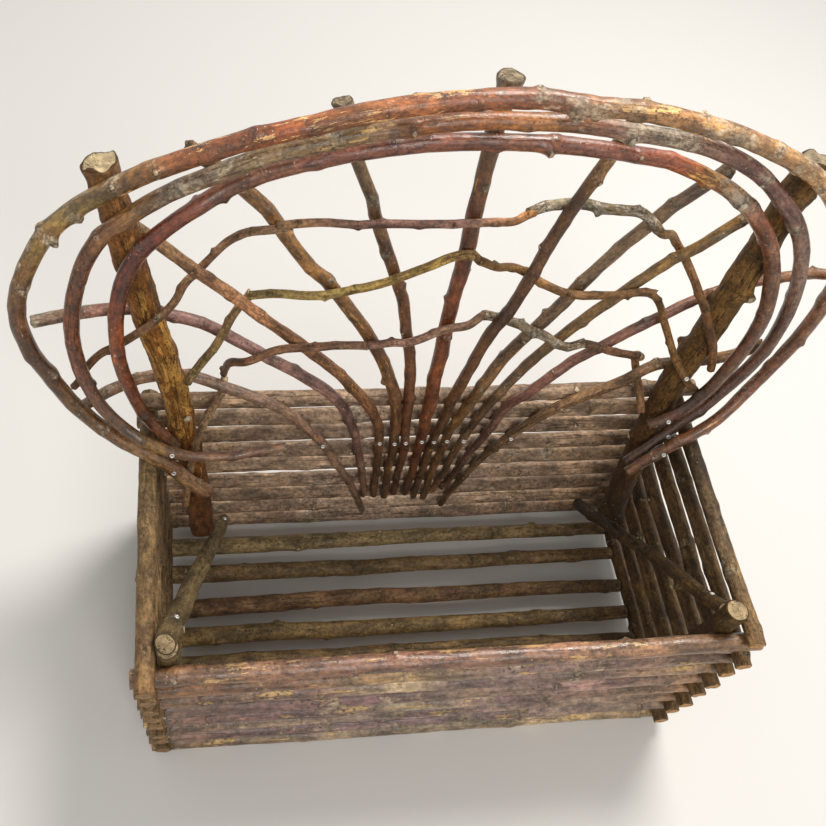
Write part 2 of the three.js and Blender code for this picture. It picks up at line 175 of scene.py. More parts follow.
def lengths(rows):
    """The length of each row."""
    return np.linalg.norm(rows, axis=1)


def unit(arrow):
    """The same direction, one long."""
    return arrow / np.linalg.norm(arrow)


def centre_line(node, start):
    """The middle and the corner radius of each ring of a stick's solid, as a path that starts
    at its lower end along that axis."""
    spots, which = np.unique(np.round(corners_of(node), 6), axis=0, return_inverse=True)
    which = which.ravel()
    beside = [set() for _ in spots]
    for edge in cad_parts[node].data.edges:
        a, b = which[edge.vertices[0]], which[edge.vertices[1]]
        beside[a].add(b)
        beside[b].add(a)

    def layers(ring):
        found, seen_so_far = [], set(ring)
        while ring:
            found.append(ring)
            ring = sorted({b for a in ring for b in beside[a]} - seen_so_far)
            seen_so_far |= set(ring)
        return found

    tip = layers([layers([0])[-1][0]])[-1][0]
    corners = 10 if node.endswith("back_post") else 6 if "web" in node or "twig" in node else 8
    cap = np.argsort(lengths(spots - spots[tip]))[:corners]
    rings = layers(sorted(int(i) for i in cap))
    path = np.array([spots[ring].mean(0) for ring in rings])
    radii = np.array([lengths(spots[r] - p).mean() for r, p in zip(rings, path)])
    axis = "xyz".index(start)
    if path[0, axis] > path[-1, axis]:
        path, radii = path[::-1], radii[::-1]
    return path, radii


def straight_line(node, start):
    """The two end middles and the corner radius of a straight stick's solid."""
    spots = corners_of(node)
    axis = "xyz".index(start)
    run = spots @ (spots[spots[:, axis].argmax()] - spots[spots[:, axis].argmin()])
    low, high = run < run.mean(), run > run.mean()
    path = np.array([np.unique(np.round(spots[half], 5), axis=0).mean(0) for half in (low, high)])
    ahead = unit(path[1] - path[0])
    off = spots - path[0]
    radius = lengths(off - np.outer(off @ ahead, ahead)).max()
    return path, np.full(2, radius)


def waves(rng, along, around, longest, shortest, terms=16, lobes=4):
    """Smooth uneven values over a stick's skin, seamless around it, about -1 to 1."""
    total = np.zeros((len(along), len(around)))
    weight = 0
    for _ in range(terms):
        length = shortest * (longest / shortest) ** rng.random()
        lobe = rng.integers(0, lobes + 1)
        size = (length / longest) ** 0.5
        swing = 2 * math.pi * along / length + rng.random() * ANY_TURN
        total += size * np.sin(swing[:, None] + lobe * around[None, :] + rng.random() * ANY_TURN)
        weight += size * size / 2
    return total / math.sqrt(weight) / 1.6


def eased(path, radii, step, ease):
    """The path and its radii in even steps, with the path's corners rounded off."""
    reach = np.concatenate([[0], np.cumsum(lengths(np.diff(path, axis=0)))])
    along = np.linspace(0, reach[-1], max(int(reach[-1] / step), 8) + 1)
    step = along[1]
    line = np.stack([np.interp(along, reach, path[:, k]) for k in range(3)], 1)
    wide = min(int(3 * ease / step) + 1, len(along) - 2)
    kernel = np.exp(-0.5 * (np.arange(-wide, wide + 1) * step / ease) ** 2)
    kernel /= kernel.sum()
    before = 2 * line[0] - line[wide:0:-1]
    after = 2 * line[-1] - line[-2:-wide - 2:-1]
    padded = np.concatenate([before, line, after])
    line = np.stack([np.convolve(padded[:, k], kernel, "valid") for k in range(3)], 1)
    return along, line, np.interp(along, reach, radii)


def carried(line):
    """The ways ahead, right and over at each step of a line, carried along without twist."""
    ahead = np.gradient(line, axis=0)
    ahead /= lengths(ahead)[:, None]
    side = np.cross(ahead[0], (0, 0, 1) if abs(ahead[0][2]) < 0.9 else (0, 1, 0))
    right = []
    for way in ahead:
        side = unit(side - way * (side @ way))
        right.append(side)
    return ahead, np.array(right), np.cross(right, ahead)


def grow(name, path, radii, tones, sides=18, step=0.003, bow=0.0, crook=0.0008, rough=0.03,
         knots_apart=0.045, knot=0.0011, stubs=0.3, second="#8d7a63", mixing=0.35, ease=0.010,
         pinned=False, ragged=0.0006, flare=(0, 0), wear=1, age=1, burls=()):
    """A natural stick along a path: it bows, kinks a little at each knot, and ends in sawn or
    torn ends. The share of knots in stubs is cut off short, and a burl is (how far along,
    facing, height, spread). Tones are places along the stick, each with its colour; wear and
    age are one value, or places with values. So much of the second tone drifts in as mixing
    says. A flare is how much wider each end grows."""
    rng = draws_for(name)
    along, line, thick = eased(path, radii, step, ease)
    total = along[-1]
    ahead, right, over = carried(line)

    # One long bow, and a slight kink at each knot.
    count = max(int(total / knots_apart), 1)
    spots = (np.arange(count) + 0.5 + 0.7 * (rng.random(count) - 0.5)) * total / count
    held = np.sin(math.pi * along / total).clip(0) if pinned else np.ones(len(along))
    for lateral in (right, over):
        kinks = crook * np.clip(rng.normal(size=count + 2), -1.6, 1.6)
        sway = np.interp(along, np.concatenate([[0], spots, [total]]), kinks)
        arc = bow * (2 * rng.random() - 1) * np.sin(math.pi * along / total)
        line = line + lateral * (sway * held ** 0.5 + arc)[:, None]

    # The skin: swellings, an oval section, knots, cut stubs and burls.
    for end, share in zip((along, total - along), flare):
        thick = thick * (1 + share * np.exp(-(end / FLARE_LENGTH) ** 2))
    around = np.arange(sides) / sides * 2 * math.pi
    swell = waves(rng, along, around, 0.16, 0.02, terms=18, lobes=3)
    grain = waves(rng, along, around, 0.06, 0.009, terms=22, lobes=7)
    oval = 0.03 * np.cos(2 * (around + rng.random() * ANY_TURN))[None, :]
    skin = thick[:, None] * (1 + rough * swell + 0.45 * rough * grain + oval)
    scar = np.zeros_like(skin)
    ring = np.zeros_like(skin)
    lumps = [(spot, n * math.pi * 0.8 + rng.random() * 1.6, knot * (0.5 + rng.random()),
              thick.mean() * (0.4 + 0.25 * rng.random()), rng.random() < stubs)
             for n, spot in enumerate(spots)]
    lumps += [(share * total, facing, height, spread, True) for share, facing, height, spread in burls]
    for spot, facing, height, spread, cut_off in lumps:
        off = np.abs((around[None, :] - facing + math.pi) % (2 * math.pi) - math.pi)
        away = np.hypot(along[:, None] - spot, off * thick[:, None])
        collar = np.exp(-0.5 * ((along - spot) / COLLAR_LENGTH) ** 2)[:, None]
        ring = np.maximum(ring, collar * (0.55 + 0.45 * np.cos(off)))
        skin = skin + 0.045 * thick[:, None] * collar * (0.35 + 0.65 * np.cos(off))
        skin = skin + height * np.exp(-0.5 * (away / spread) ** 2)
        if cut_off:
            top = 1 / (1 + np.exp(np.minimum((away - 0.62 * spread) / STUB_EDGE, 60)))
            skin = skin + 1.3 * height * top
            scar = np.maximum(scar, top)
        else:
            skin = skin - 0.6 * height * np.exp(-0.5 * (away / (spread * 0.42)) ** 2)
            scar = np.maximum(scar, 0.75 * np.exp(-0.5 * (away / (spread * 0.6)) ** 2))

    # Mesh: the skin, then each end as rings that close on its middle. The faces wind inwards,
    # because right, over and ahead are a left-handed set.
    out = right[:, None, :] * np.cos(around)[None, :, None]
    out = out + over[:, None, :] * np.sin(around)[None, :, None]
    points = [(line[:, None, :] + out * skin[:, :, None]).reshape(-1, 3)]
    shift = 3.0 * rng.random()
    turned = np.stack([np.cos(around), np.sin(around)], -1)
    depth = np.broadcast_to((along + shift)[:, None], skin.shape)
    places = [np.concatenate([skin[:, :, None] * turned, depth[:, :, None]], -1).reshape(-1, 3)]
    rims = [np.ones(skin.size)]
    last = len(along) - 1
    low = np.arange(last * sides).reshape(last, sides)
    beside = np.roll(low, -1, axis=1)
    faces = np.stack([low, beside, beside + sides, low + sides], -1).reshape(-1, 4).tolist()
    cut = []
    used = skin.size
    for end, sign in ((0, -1), (last, 1)):
        edge = [end * sides + j for j in range(sides)]
        heights = ragged * waves(rng, np.zeros(1), around, 1, 0.2, terms=9, lobes=5)[0]
        for share, proud in END_RINGS:
            lift = sign * (proud + heights * share + 0.3 * ragged * (rng.random(sides) - 0.5))
            ring_at = line[end] + out[end] * skin[end][:, None] * share
            points.append(ring_at + ahead[end] * lift[:, None])
            flat = (skin[end] * share)[:, None] * turned
            places.append(np.concatenate([flat, np.full((sides, 1), shift + end)], -1))
            rims.append(np.full(sides, share))
            fresh = [used + j for j in range(sides)]
            used += sides
            for j in range(sides):
                k = (j + 1) % sides
                quad = (edge[j], edge[k], fresh[k], fresh[j])
                if share < 0.9:
                    cut.append(len(faces))
                faces.append(quad[::-1] if sign < 0 else quad)
            edge = fresh
        points.append((line[end] + ahead[end] * sign * END_MIDDLE)[None, :])
        places.append(np.array([[0, 0, shift + end]]))
        rims.append(np.zeros(1))
        for j in range(sides):
            tri = (edge[j], edge[(j + 1) % sides], used)
            cut.append(len(faces))
            faces.append(tri[::-1] if sign < 0 else tri)
        used += 1

    mesh = bpy.data.meshes.new(name)
    points = np.clip(np.concatenate(points), *cad_corners)
    mesh.from_pydata(points.tolist(), [], faces)
    index = np.zeros(len(faces), np.int32)
    index[cut] = 1
    mesh.polygons.foreach_set("use_smooth", np.ones(len(faces), bool))
    mesh.polygons.foreach_set("material_index", index)

    # What the finish reads.
    def keep(label, kind, field, values):
        spread_out = np.zeros((used, values.shape[1]))
        spread_out[:len(values)] = values
        mesh.attributes.new(label, kind, "POINT").data.foreach_set(
            field, spread_out.astype(np.float32).ravel())

    def level(given):
        where, values = zip(*(given if isinstance(given, tuple) else ((0, given),)))
        return np.repeat(np.interp(along / total, where, values), sides)[:, None]

    keep("place", "FLOAT_VECTOR", "vector", np.concatenate(places))
    keep("rim", "FLOAT", "value", np.concatenate(rims)[:, None])
    keep("knot", "FLOAT", "value", scar.reshape(-1, 1))
    keep("collar", "FLOAT", "value", ring.reshape(-1, 1))
    keep("wear", "FLOAT", "value", level(wear))
    keep("age", "FLOAT", "value", level(age))
    words = tones.split()
    at = [float(word) for word in words[::2]]
    shades = np.array([linear(word) for word in words[1::2]])
    base = np.stack([np.interp(along / total, at, shades[:, k]) for k in range(3)], -1)
    drift = np.clip(0.5 + 0.6 * waves(rng, along, around, 0.12, 0.015, terms=20, lobes=3), 0, 1)
    drift = (mixing * drift)[:, :, None]
    tone = (base[:, None, :] * (1 - drift) + linear(second) * drift).reshape(-1, 3)
    ends = np.concatenate([np.tile(base[e], (len(END_RINGS) * sides + 1, 1)) for e in (0, -1)])
    tone = np.concatenate([tone, ends])
    keep("tone", "FLOAT_COLOR", "color", np.concatenate([tone, np.ones((len(tone), 1))], 1))
    mesh.update()
    piece = bpy.data.objects.new(name, mesh)
    scene.collection.objects.link(piece)
    grown[name] = (line, thick)
    return piece


class Shades:
    """Short ways to place and join the nodes of one finish."""

    def __init__(self, tree):
        self.tree = tree

    def add(self, kind, **values):
        made = self.tree.nodes.new(kind)
        for key, value in values.items():
            setattr(made, key, value)
        return made

    def put(self, value, socket):
        if isinstance(value, bpy.types.NodeSocket):
            self.tree.links.new(value, socket)
        else:
            socket.default_value = value

    def work(self, operation, a, b=0.0, clamp=False):
        made = self.add("ShaderNodeMath", operation=operation, use_clamp=clamp)
        self.put(a, made.inputs[0])
        self.put(b, made.inputs[1])
        return made.outputs[0]

    def times(self, a, b):
        return self.work("MULTIPLY", a, b)

    def plus(self, a, b, clamp=False):
        return self.work("ADD", a, b, clamp)

    def minus(self, a, b, clamp=False):
        return self.work("SUBTRACT", a, b, clamp)

    def larger(self, a, b):
        return self.work("MAXIMUM", a, b)

    def bump(self, height, strength, distance, normal):
        made = self.add("ShaderNodeBump")
        made.inputs["Strength"].default_value = strength
        made.inputs["Distance"].default_value = distance
        self.put(height, made.inputs["Height"])
        self.put(made.outputs["Normal"], normal)

    def read(self, label, output="Fac"):
        return self.add("ShaderNodeAttribute", attribute_name=label).outputs[output]

    def stretch(self, place, factors):
        made = self.add("ShaderNodeVectorMath", operation="MULTIPLY")
        self.put(place, made.inputs[0])
        made.inputs[1].default_value = factors
        return made.outputs[0]

    def noise(self, place, scale, detail=4, rough=0.55, distortion=0.0):
        made = self.add("ShaderNodeTexNoise")
        self.put(place, made.inputs["Vector"])
        made.inputs["Scale"].default_value = scale
        made.inputs["Detail"].default_value = detail
        made.inputs["Roughness"].default_value = rough
        made.inputs["Distortion"].default_value = distortion
        return made.outputs["Fac"]

    def cells(self, place, scale):
        made = self.add("ShaderNodeTexVoronoi")
        self.put(place, made.inputs["Vector"])
        made.inputs["Scale"].default_value = scale
        return made.outputs["Distance"]

    def ramp(self, value, low, high, to_low=0.0, to_high=1.0):
        made = self.add("ShaderNodeMapRange", interpolation_type="SMOOTHSTEP")
        for socket, given in zip(made.inputs[:5], (value, low, high, to_low, to_high)):
            self.put(given, socket)
        return made.outputs[0]

    def blend(self, share, a, b, how="MIX"):
        made = self.add("ShaderNodeMix", data_type="RGBA", blend_type=how)
        self.put(share, made.inputs[0])
        self.put(a, made.inputs[6])
        self.put(b, made.inputs[7])
        return made.outputs[2]


def new_group(name, takes, gives):
    """An empty node group with its named inputs and outputs."""
    tree = bpy.data.node_groups.new(name, "ShaderNodeTree")
    for label, kind in takes:
        tree.interface.new_socket(label, in_out="INPUT", socket_type="NodeSocket" + kind)
    for label, kind in gives:
        tree.interface.new_socket(label, in_out="OUTPUT", socket_type="NodeSocket" + kind)
    return tree, tree.nodes.new("NodeGroupInput").outputs, tree.nodes.new("NodeGroupOutput").inputs


# Bark: mottled tone, rubbed streaks and patches, grey lichen, pale pores, dark specks,
# long cracks, and rings and cut faces at the knots.
CRACK_DARK = (0.012, 0.008, 0.005, 1)
RICHER = 1.1
BRIGHTER = 1.5
bark_group, given, out_to = new_group(
    "weathered_bark",
    [("Place", "Vector"), ("Tone", "Color"), ("Knot", "Float"), ("Collar", "Float"),
     ("Wear", "Float"), ("Age", "Float"), ("Rubbed Colour", "Color"), ("Grey Colour", "Color"),
     ("Smooth", "Float"), ("Rugged", "Float"), ("Cut Colour", "Color")],
    [("Colour", "Color"), ("Roughness", "Float"), ("Height", "Float")],
)
s = Shades(bark_group)
place = given["Place"]
short = s.stretch(place, (1, 1, 0.5))
long = s.stretch(place, (1, 1, 0.13))
threads = s.stretch(place, (1, 1, 0.045))
broad = s.noise(short, 22, 3, 0.5)
mottle = s.noise(short, 105, 7, 0.7)
fine = s.noise(s.stretch(place, (1, 1, 0.7)), 430, 4, 0.7)
streaky = s.noise(long, 190, 6, 0.68, 0.2)
patchy = s.noise(s.stretch(place, (1, 1, 0.24)), 80, 8, 0.74, 0.35)
lichen = s.noise(s.stretch(place, (1, 1, 0.7)), 66, 8, 0.76)
crack_wave = s.noise(threads, 150, 3, 0.55)
pores = s.cells(s.stretch(place, (1, 1, 1.7)), 290)
specks = s.cells(s.stretch(place, (1, 1, 0.9)), 340)
shade = s.times(s.ramp(mottle, 0.36, 0.64, 0.52, 1.36), s.ramp(fine, 0.34, 0.66, 0.62, 1.32))
shade = s.times(shade, s.ramp(broad, 0.32, 0.68, 0.7, 1.26))
shade = s.times(shade, s.ramp(streaky, 0.35, 0.65, 0.84, 1.16))
shade_colour = s.add("ShaderNodeCombineColor")
for socket in shade_colour.inputs[:3]:
    s.put(shade, socket)
colour = s.blend(1.0, given["Tone"], shade_colour.outputs[0], "MULTIPLY")
dark = s.blend(0.8, colour, CRACK_DARK)

# Ochre where the bark is rubbed through: patches and thin streaks, each with a dark edge.
patch_at = s.ramp(given["Wear"], 0.0, 1.0, 0.74, 0.53)
patch_at = s.minus(patch_at, s.ramp(streaky, 0.4, 0.7, 0.0, 0.07))
patch = s.ramp(patchy, patch_at, s.plus(patch_at, 0.012))
patch_rim = s.ramp(patchy, s.minus(patch_at, 0.045), patch_at)
streak_at = s.ramp(given["Wear"], 0.0, 1.0, 0.72, 0.55)
streak = s.ramp(streaky, streak_at, s.plus(streak_at, 0.012))
rubbed = s.larger(patch, streak)
rim = s.times(s.minus(patch_rim, rubbed, clamp=True), 0.55)
colour = s.blend(rim, colour, dark)
rubbed_tone = s.blend(1.0, given["Rubbed Colour"], shade_colour.outputs[0], "MULTIPLY")
rubbed_tone = s.blend(s.ramp(fine, 0.5, 0.62, 0.0, 0.55), rubbed_tone, given["Tone"])
colour = s.blend(s.times(rubbed, 0.88), colour, rubbed_tone)

# Grey lichen, thickest round the knots.
grey_at = s.ramp(given["Age"], 0.0, 1.0, 0.74, 0.49)
grey_at = s.minus(grey_at, s.times(given["Collar"], 0.12))
grey = s.ramp(lichen, grey_at, s.plus(grey_at, 0.07))
grey = s.times(grey, s.ramp(fine, 0.36, 0.56, 0.3, 1.0))
grey_tone = s.blend(1.0, given["Grey Colour"], shade_colour.outputs[0], "MULTIPLY")
colour = s.blend(s.times(grey, 0.82), colour, grey_tone)

# Pores, specks, cracks and knot rings.
pore_size = s.ramp(fine, 0.4, 0.62, 0.05, 0.28)
pore = s.times(s.ramp(pores, s.times(pore_size, 0.6), pore_size, 1.0, 0.0), s.ramp(lichen, 0.5, 0.6))
colour = s.blend(s.times(pore, 0.8), colour, given["Cut Colour"])
speck = s.times(s.ramp(specks, 0.16, 0.34, 1.0, 0.0), s.ramp(patchy, 0.46, 0.56))
colour = s.blend(s.times(speck, 0.85), colour, dark)
crack_off = s.work("ABSOLUTE", s.minus(crack_wave, 0.5))
crack = s.ramp(crack_off, 0.004, 0.014, 1.0, 0.0)
crack = s.times(crack, s.ramp(broad, 0.44, 0.56))
crack = s.times(crack, given["Rugged"])
wrinkle = s.add("ShaderNodeTexWave", wave_type="BANDS", bands_direction="Z")
s.put(place, wrinkle.inputs["Vector"])
for label, value in (("Scale", 75), ("Distortion", 7.0), ("Detail", 3.0), ("Detail Scale", 3.0)):
    wrinkle.inputs[label].default_value = value
ring_line = s.times(s.ramp(wrinkle.outputs["Fac"], 0.55, 0.9), s.ramp(given["Collar"], 0.3, 0.8))
lined = s.larger(s.times(crack, 0.85), s.times(ring_line, 0.4))
colour = s.blend(lined, colour, dark)
cut_face = s.ramp(given["Knot"], 0.62, 0.82)
cut_edge = s.minus(s.ramp(given["Knot"], 0.25, 0.6), cut_face, clamp=True)
colour = s.blend(s.times(cut_edge, 0.6), colour, dark)
colour = s.blend(s.times(cut_face, s.ramp(mottle, 0.38, 0.58, 0.3, 0.85)),
                 colour, given["Cut Colour"])
wet = s.add("ShaderNodeHueSaturation")
s.put(colour, wet.inputs["Color"])
wet.inputs["Saturation"].default_value = RICHER
wet.inputs["Value"].default_value = BRIGHTER
s.put(wet.outputs[0], out_to["Colour"])
gloss = s.minus(0.76, s.times(given["Smooth"], 0.44))
gloss = s.plus(gloss, s.ramp(mottle, 0.36, 0.64, -0.08, 0.12))
gloss = s.plus(gloss, s.times(s.larger(grey, lined), 0.35), clamp=True)
s.put(gloss, out_to["Roughness"])
height = s.times(mottle, 1.1)
for join, mark, share in (
    (s.plus, fine, 0.45), (s.plus, streaky, 0.5), (s.plus, grey, 0.16), (s.minus, rubbed, 0.14),
    (s.minus, crack, 0.8), (s.minus, ring_line, 0.45), (s.plus, pore, 0.2),
):
    height = join(height, s.times(mark, share))
s.put(height, out_to["Height"])

# A sawn end: growth rings round the pith, drying cracks, and a dark line of bark.
RING_TURNS = 3900
RING_DARK = (0.10, 0.06, 0.03, 1)
STAIN_DARK = (0.10, 0.085, 0.06, 1)
SAW_DARK = (0.09, 0.065, 0.04, 1)
RIM_DARK = (0.05, 0.032, 0.018, 1)
SPLIT_DARK = (0.03, 0.02, 0.012, 1)
sawn_group, given, out_to = new_group(
    "sawn_end",
    [("Place", "Vector"), ("Rim", "Float"), ("Wood Colour", "Color"), ("Stain", "Float")],
    [("Colour", "Color"), ("Height", "Float")],
)
s = Shades(sawn_group)
flat_place = s.stretch(given["Place"], (1, 1, 0.0))
warp = s.noise(given["Place"], 170, 3, 0.6)
ring_length = s.add("ShaderNodeVectorMath", operation="LENGTH")
s.put(flat_place, ring_length.inputs[0])
turns = s.plus(s.times(ring_length.outputs["Value"], RING_TURNS), s.times(warp, 5))
growth = s.work("MULTIPLY_ADD", s.work("SINE", turns), 0.5)
growth.node.inputs[2].default_value = 0.5
saw_marks = s.noise(s.stretch(given["Place"], (1, 7, 1)), 210, 4, 0.6)
stain = s.ramp(s.noise(given["Place"], 120, 4, 0.6), 0.35, 0.68)
wood = s.blend(s.times(growth, 0.4), given["Wood Colour"], s.blend(0.55, given["Wood Colour"], RING_DARK))
wood = s.blend(s.times(stain, given["Stain"]), wood, STAIN_DARK)
wood = s.blend(s.ramp(saw_marks, 0.5, 0.75, 0.0, 0.35), wood, SAW_DARK)
wood = s.blend(s.ramp(given["Rim"], 0.82, 0.93), wood, RIM_DARK)
drying = s.work("ABSOLUTE", s.minus(s.noise(given["Place"], 95, 2, 0.5), 0.5))
drying = s.ramp(drying, 0.004, 0.016, 1.0, 0.0)
wood = s.blend(s.times(drying, 0.8), wood, SPLIT_DARK)
s.put(s.minus(s.plus(s.times(growth, 0.3), saw_marks), drying), out_to["Height"])
s.put(wood, out_to["Colour"])


def bark_finish(name, rubbed, grey, smooth, rugged, relief=0.0015, gloss=0.22, grain=0.85):
    """A bark material: the shared bark group with this kind of stick's own values. A lower
    grain makes broader marks."""
    finish, surface = new_finish(name)
    s = Shades(finish.node_tree)
    bark = s.add("ShaderNodeGroup", node_tree=bark_group)
    s.put(s.stretch(s.read("place", "Vector"), (grain, grain, grain)), bark.inputs["Place"])
    s.put(s.read("tone", "Color"), bark.inputs["Tone"])
    for label in ("Knot", "Collar", "Wear", "Age"):
        s.put(s.read(label.lower()), bark.inputs[label])
    for label, value in (
        ("Rubbed Colour", (*linear(rubbed), 1)), ("Grey Colour", (*linear(grey), 1)),
        ("Smooth", smooth), ("Rugged", rugged), ("Cut Colour", (*linear(CUT_WOOD), 1)),
    ):
        s.put(value, bark.inputs[label])
    s.put(bark.outputs["Colour"], surface.inputs["Base Color"])
    s.put(bark.outputs["Roughness"], surface.inputs["Roughness"])
    surface.inputs["Specular IOR Level"].default_value = gloss
    s.bump(bark.outputs["Height"], 1.0, relief, surface.inputs["Normal"])
    return finish


def sawn_finish(name, wood, stain):
    """The end grain of a sawn stick."""
    finish, surface = new_finish(name)
    s = Shades(finish.node_tree)
    end = s.add("ShaderNodeGroup", node_tree=sawn_group)
    s.put(s.read("place", "Vector"), end.inputs["Place"])
    s.put(s.read("rim"), end.inputs["Rim"])
    s.put((*linear(wood), 1), end.inputs["Wood Colour"])
    s.put(stain, end.inputs["Stain"])
    s.put(end.outputs["Colour"], surface.inputs["Base Color"])
    surface.inputs["Roughness"].default_value = 0.8
    surface.inputs["Specular IOR Level"].default_value = 0.2
    s.bump(end.outputs["Height"], 0.6, 0.0006, surface.inputs["Normal"])
    return finish


wall_bark = bark_finish("wall_bark", "#b09366", "#9c8d76", 0.95, 0.5, relief=0.0011, gloss=0.5, grain=0.5)
top_stick_bark = bark_finish("top_stick_bark", "#b3946a", "#9a8a74", 1.15, 0.6, relief=0.0008, gloss=0.6,
                             grain=0.55)
wall_end = sawn_finish("wall_end", "#c08e60", 0.45)
FRONT_TONES = [
    "0 #84694c 0.2 #7c6a58 0.5 #8f7f6a 0.75 #a58f72 1 #8f7a5c",
    "0 #6c5644 0.3 #70595a 0.6 #7f6b66 0.85 #8f7a6c 1 #84705a",
    "0 #6a5342 0.35 #8a7868 0.5 #75605c 0.8 #95806e 1 #84684a",
    "0 #70594a 0.3 #725856 0.45 #9a8a72 0.6 #78625c 1 #907357",
    "0 #735d4e 0.4 #6b5252 0.55 #86715f 0.75 #8d7169 1 #7f654a",
    "0 #6b543f 0.3 #7a6258 0.42 #a08e74 0.55 #76605c 1 #8c7358",
    "0 #7c5c40 0.25 #80604c 0.45 #9c8360 0.6 #86706a 1 #7c6148",
    "0 #77583c 0.2 #7e5d48 0.45 #775646 0.7 #84634e 1 #7b6146",
]
for n, tones in enumerate(FRONT_TONES, 1):
    node = f"front_wall_stick_{n}"
    path, radii = straight_line(node, "x")
    top = n == len(FRONT_TONES)
    piece = grow(f"front_stick_{n}", path, radii * ROUND, tones, bow=0.0015, crook=0.0007,
                 knots_apart=0.07, second="#5f4a40", rough=0.035, pinned=True,
                 wear=((0, 0.5), (0.5, 0.75), (1, 0.5)) if top else ((0, 0.5), (1, 0.55)),
                 age=((0, 0.4), (1, 0.5)) if top else ((0, 0.5), (0.5, 0.75), (1, 0.6)))
    piece.data.materials.append(top_stick_bark if top else wall_bark)
    piece.data.materials.append(wall_end)
    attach(piece, "root")
    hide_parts(node)

# ---------------------------------------------------------------------
# Back wall. Nine sticks like the front ones, greyer, one course higher than the sides;
# the fan's spokes are nailed to its inner face.
back_bark = bark_finish("back_bark", "#9a7f60", "#8f8577", 0.5, 0.8, relief=0.0012, grain=0.6)
BACK_TONES = [
    "0 #6f5a44 0.5 #84705f 1 #6d5844",
    "0 #78634c 0.5 #8a7666 1 #725c46",
    "0 #7f6952 0.5 #927e6c 1 #766048",
]
for n in range(1, 10):
    node = f"back_wall_stick_{n}"
    path, radii = straight_line(node, "x")
    piece = grow(f"back_stick_{n}", path, radii * ROUND, BACK_TONES[n % 3], bow=0.0015,
                 crook=0.0007, knots_apart=0.08, second="#8a796b", pinned=True,
                 wear=0.25, age=((0, 0.5), (0.5, 0.7), (1, 0.5)))
    piece.data.materials.append(back_bark)
    piece.data.materials.append(wall_end)
    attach(piece, "root")
    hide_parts(node)

# ---------------------------------------------------------------------
# Side walls. Eight sticks a side, laid between the front and back courses and nailed
# down through them; their sawn ends stand out past the front wall, each to its own length.
side_bark = bark_finish("side_bark", "#98805c", "#8b8169", 0.5, 0.9, relief=0.0012, grain=0.7)
# The right ends are paler and more orange than the left ones: painted light, for the light that falls on
# the right-hand ends.
side_ends = {"left": sawn_finish("left_end", "#a3805a", 0.5),
             "right": sawn_finish("lit_right_end", "#d09c66", 0.35)}
# The right wall's tones, its top stick's too, are darker than the left's: painted shade, for the shade on
# that wall's inner side, which faces away from the light.
SIDE_TONES = {
    "left": "0 #80694b 0.4 #7f6a50 1 #64513c",
    "right": "0 #66523a 0.4 #58462f 1 #463524",
}
TOP_TONES = {
    "left": "0 #745b41 0.3 #776146 0.6 #766348 1 #67543b",
    "right": "0 #80664a 0.15 #6f5a40 0.4 #4e4030 0.75 #4c3e2d 1 #58482f",
}
SIDE_ROUND = {"left": ROUND, "right": 0.89}
SHORTER = {"left": [0.009, 0.010, 0.007, 0.008, 0.006, 0.004, 0.003, 0],
           "right": [0.003, 0.005, 0.002, 0.004, 0.003, 0.005, 0.002, 0.012]}
for hand in ("left", "right"):
    for n in range(1, 9):
        node = f"{hand}_wall_stick_{n}"
        path, radii = straight_line(node, "y")
        path[0, 1] += SHORTER[hand][n - 1]
        tones = TOP_TONES[hand] if n == 8 else SIDE_TONES[hand]
        piece = grow(f"{hand}_stick_{n}", path, radii * SIDE_ROUND[hand], tones, bow=0.0008,
                     crook=0.0007, second="#45352a", knots_apart=0.06, pinned=True,
                     wear=((0, 0.35), (1, 0.3)), age=((0, 0.6), (1, 0.5)))
        piece.data.materials.append(side_bark)
        piece.data.materials.append(side_ends[hand])
        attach(piece, "root")
        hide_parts(node)

# ---------------------------------------------------------------------
# Floor slats. Five sticks nailed across between the side walls, low in the box, to carry
# a tray or pots. Each is thickest at the left, and its upper side lies level.
slat_bark = bark_finish("slat_bark", "#86694a", "#7c6f56", 0.7, 0.7, relief=0.0011, grain=0.65)
slat_end = sawn_finish("slat_end", "#8a6c4a", 0.6)
SLAT_TONES = ["#7c6c50", "#736046", "#6f5642", "#736043", "#65523a"]
SLAT_BUTT = 1.38
for n, tone in enumerate(SLAT_TONES, 1):
    node = f"floor_slat_{n}"
    path, radii = straight_line(node, "x")
    even = radii * ROUND
    swollen = even * (SLAT_BUTT, 1)
    path[:, 2] -= swollen - even
    piece = grow(f"slat_{n}", path, swollen, f"0 {tone} 0.6 {tone} 1 #4f3d2a",
                 bow=0.004, crook=0.0009, second="#7c6a4c", knot=0.0013, knots_apart=0.07,
                 pinned=True, wear=((0, 0.4), (1, 0.3)), age=((0, 0.6), (1, 0.5)))
    piece.data.materials.append(slat_bark)
    piece.data.materials.append(slat_end)
    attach(piece, "root")
    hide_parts(node)

# ---------------------------------------------------------------------
# Corner posts and braces. A short thick post stands inside each front corner. The left
# brace is nailed over its post, sawn end up; the right one butts against its taller post.
corner_bark = bark_finish("corner_bark", "#8c7348", "#7c735c", 0.4, 0.9)
corner_end = sawn_finish("corner_end", "#c9ae84", 0.6)
# The right post and brace are much darker than the left ones: painted shade, for the shadow they stand in
# beside the right wall.
CORNER_TONES = {
    "left": "0 #7a6a4c 0.4 #6c5e44 1 #5e5039",
    "right": "0 #362a1a 0.5 #3a2d1c 1 #463621",
}
AT_FLOOR = 0.001
POST_BELOW_WALL = 0.005
CLEAR_OF_POST = 0.004
OVER_POST = 1.2
BRACE_FOOT = 0.012
BRACE_OFF_POST = (-0.001, 0.009)
BRACE_BELOW_POST = 0.021


def middle_and_reach(spots):
    """The middle of some corners, and a stick's radius that fits just inside them."""
    middle = spots.mean(0)
    return middle, lengths(spots - middle).max() * ROUND


